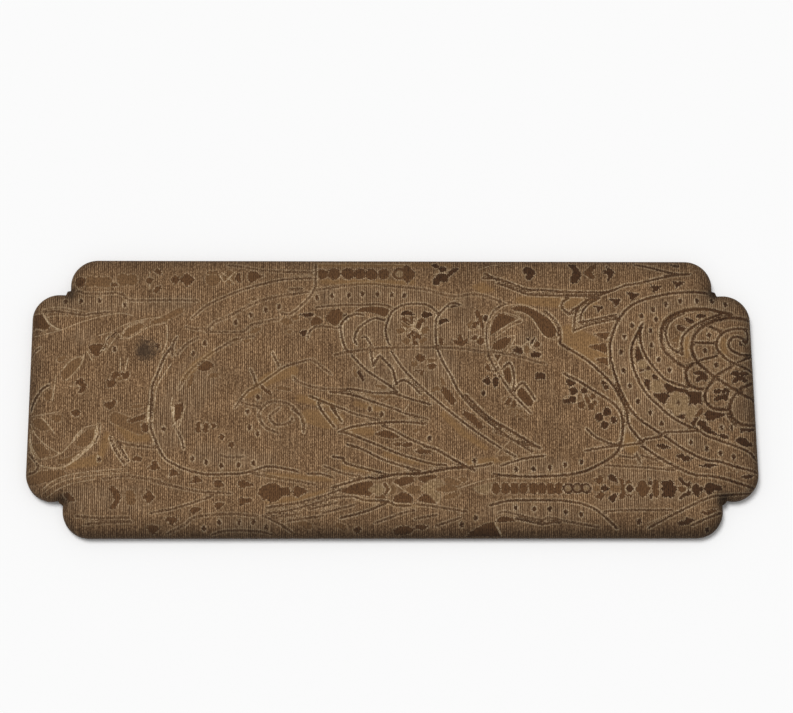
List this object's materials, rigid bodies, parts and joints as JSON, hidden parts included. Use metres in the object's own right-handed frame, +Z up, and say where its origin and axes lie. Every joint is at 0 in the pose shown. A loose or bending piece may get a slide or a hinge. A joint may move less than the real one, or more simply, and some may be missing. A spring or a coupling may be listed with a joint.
{
  "type": "jewelry tray",
  "caption": "Flat rimless jewellery display tray: a thin padded board with stepped, rounded corners, wrapped in brown paisley jacquard cloth, with a felt underside to rest on.",
  "frame": {"origin": "middle of the felt underside, on the surface that the tray rests on", "axes": "+X along the tray's length, +Y towards its back edge, +Z up out of the display face"},
  "size_m": [0.35, 0.14, 0.0077],
  "materials": {
    "jacquard": "matte",
    "wadding": "matte",
    "greyboard": "matte",
    "card": "matte",
    "felt": "matte"
  },
  "bodies": {
    "root": {"base_felt": "felt", "back_card": "card", "core_board": "greyboard", "wadding_pad": "wadding", "cover_cloth": "jacquard", "corner_patch_back_right": "jacquard", "corner_patch_back_left": "jacquard", "corner_patch_front_left": "jacquard", "corner_patch_front_right": "jacquard"}
  },
  "joints": []
}
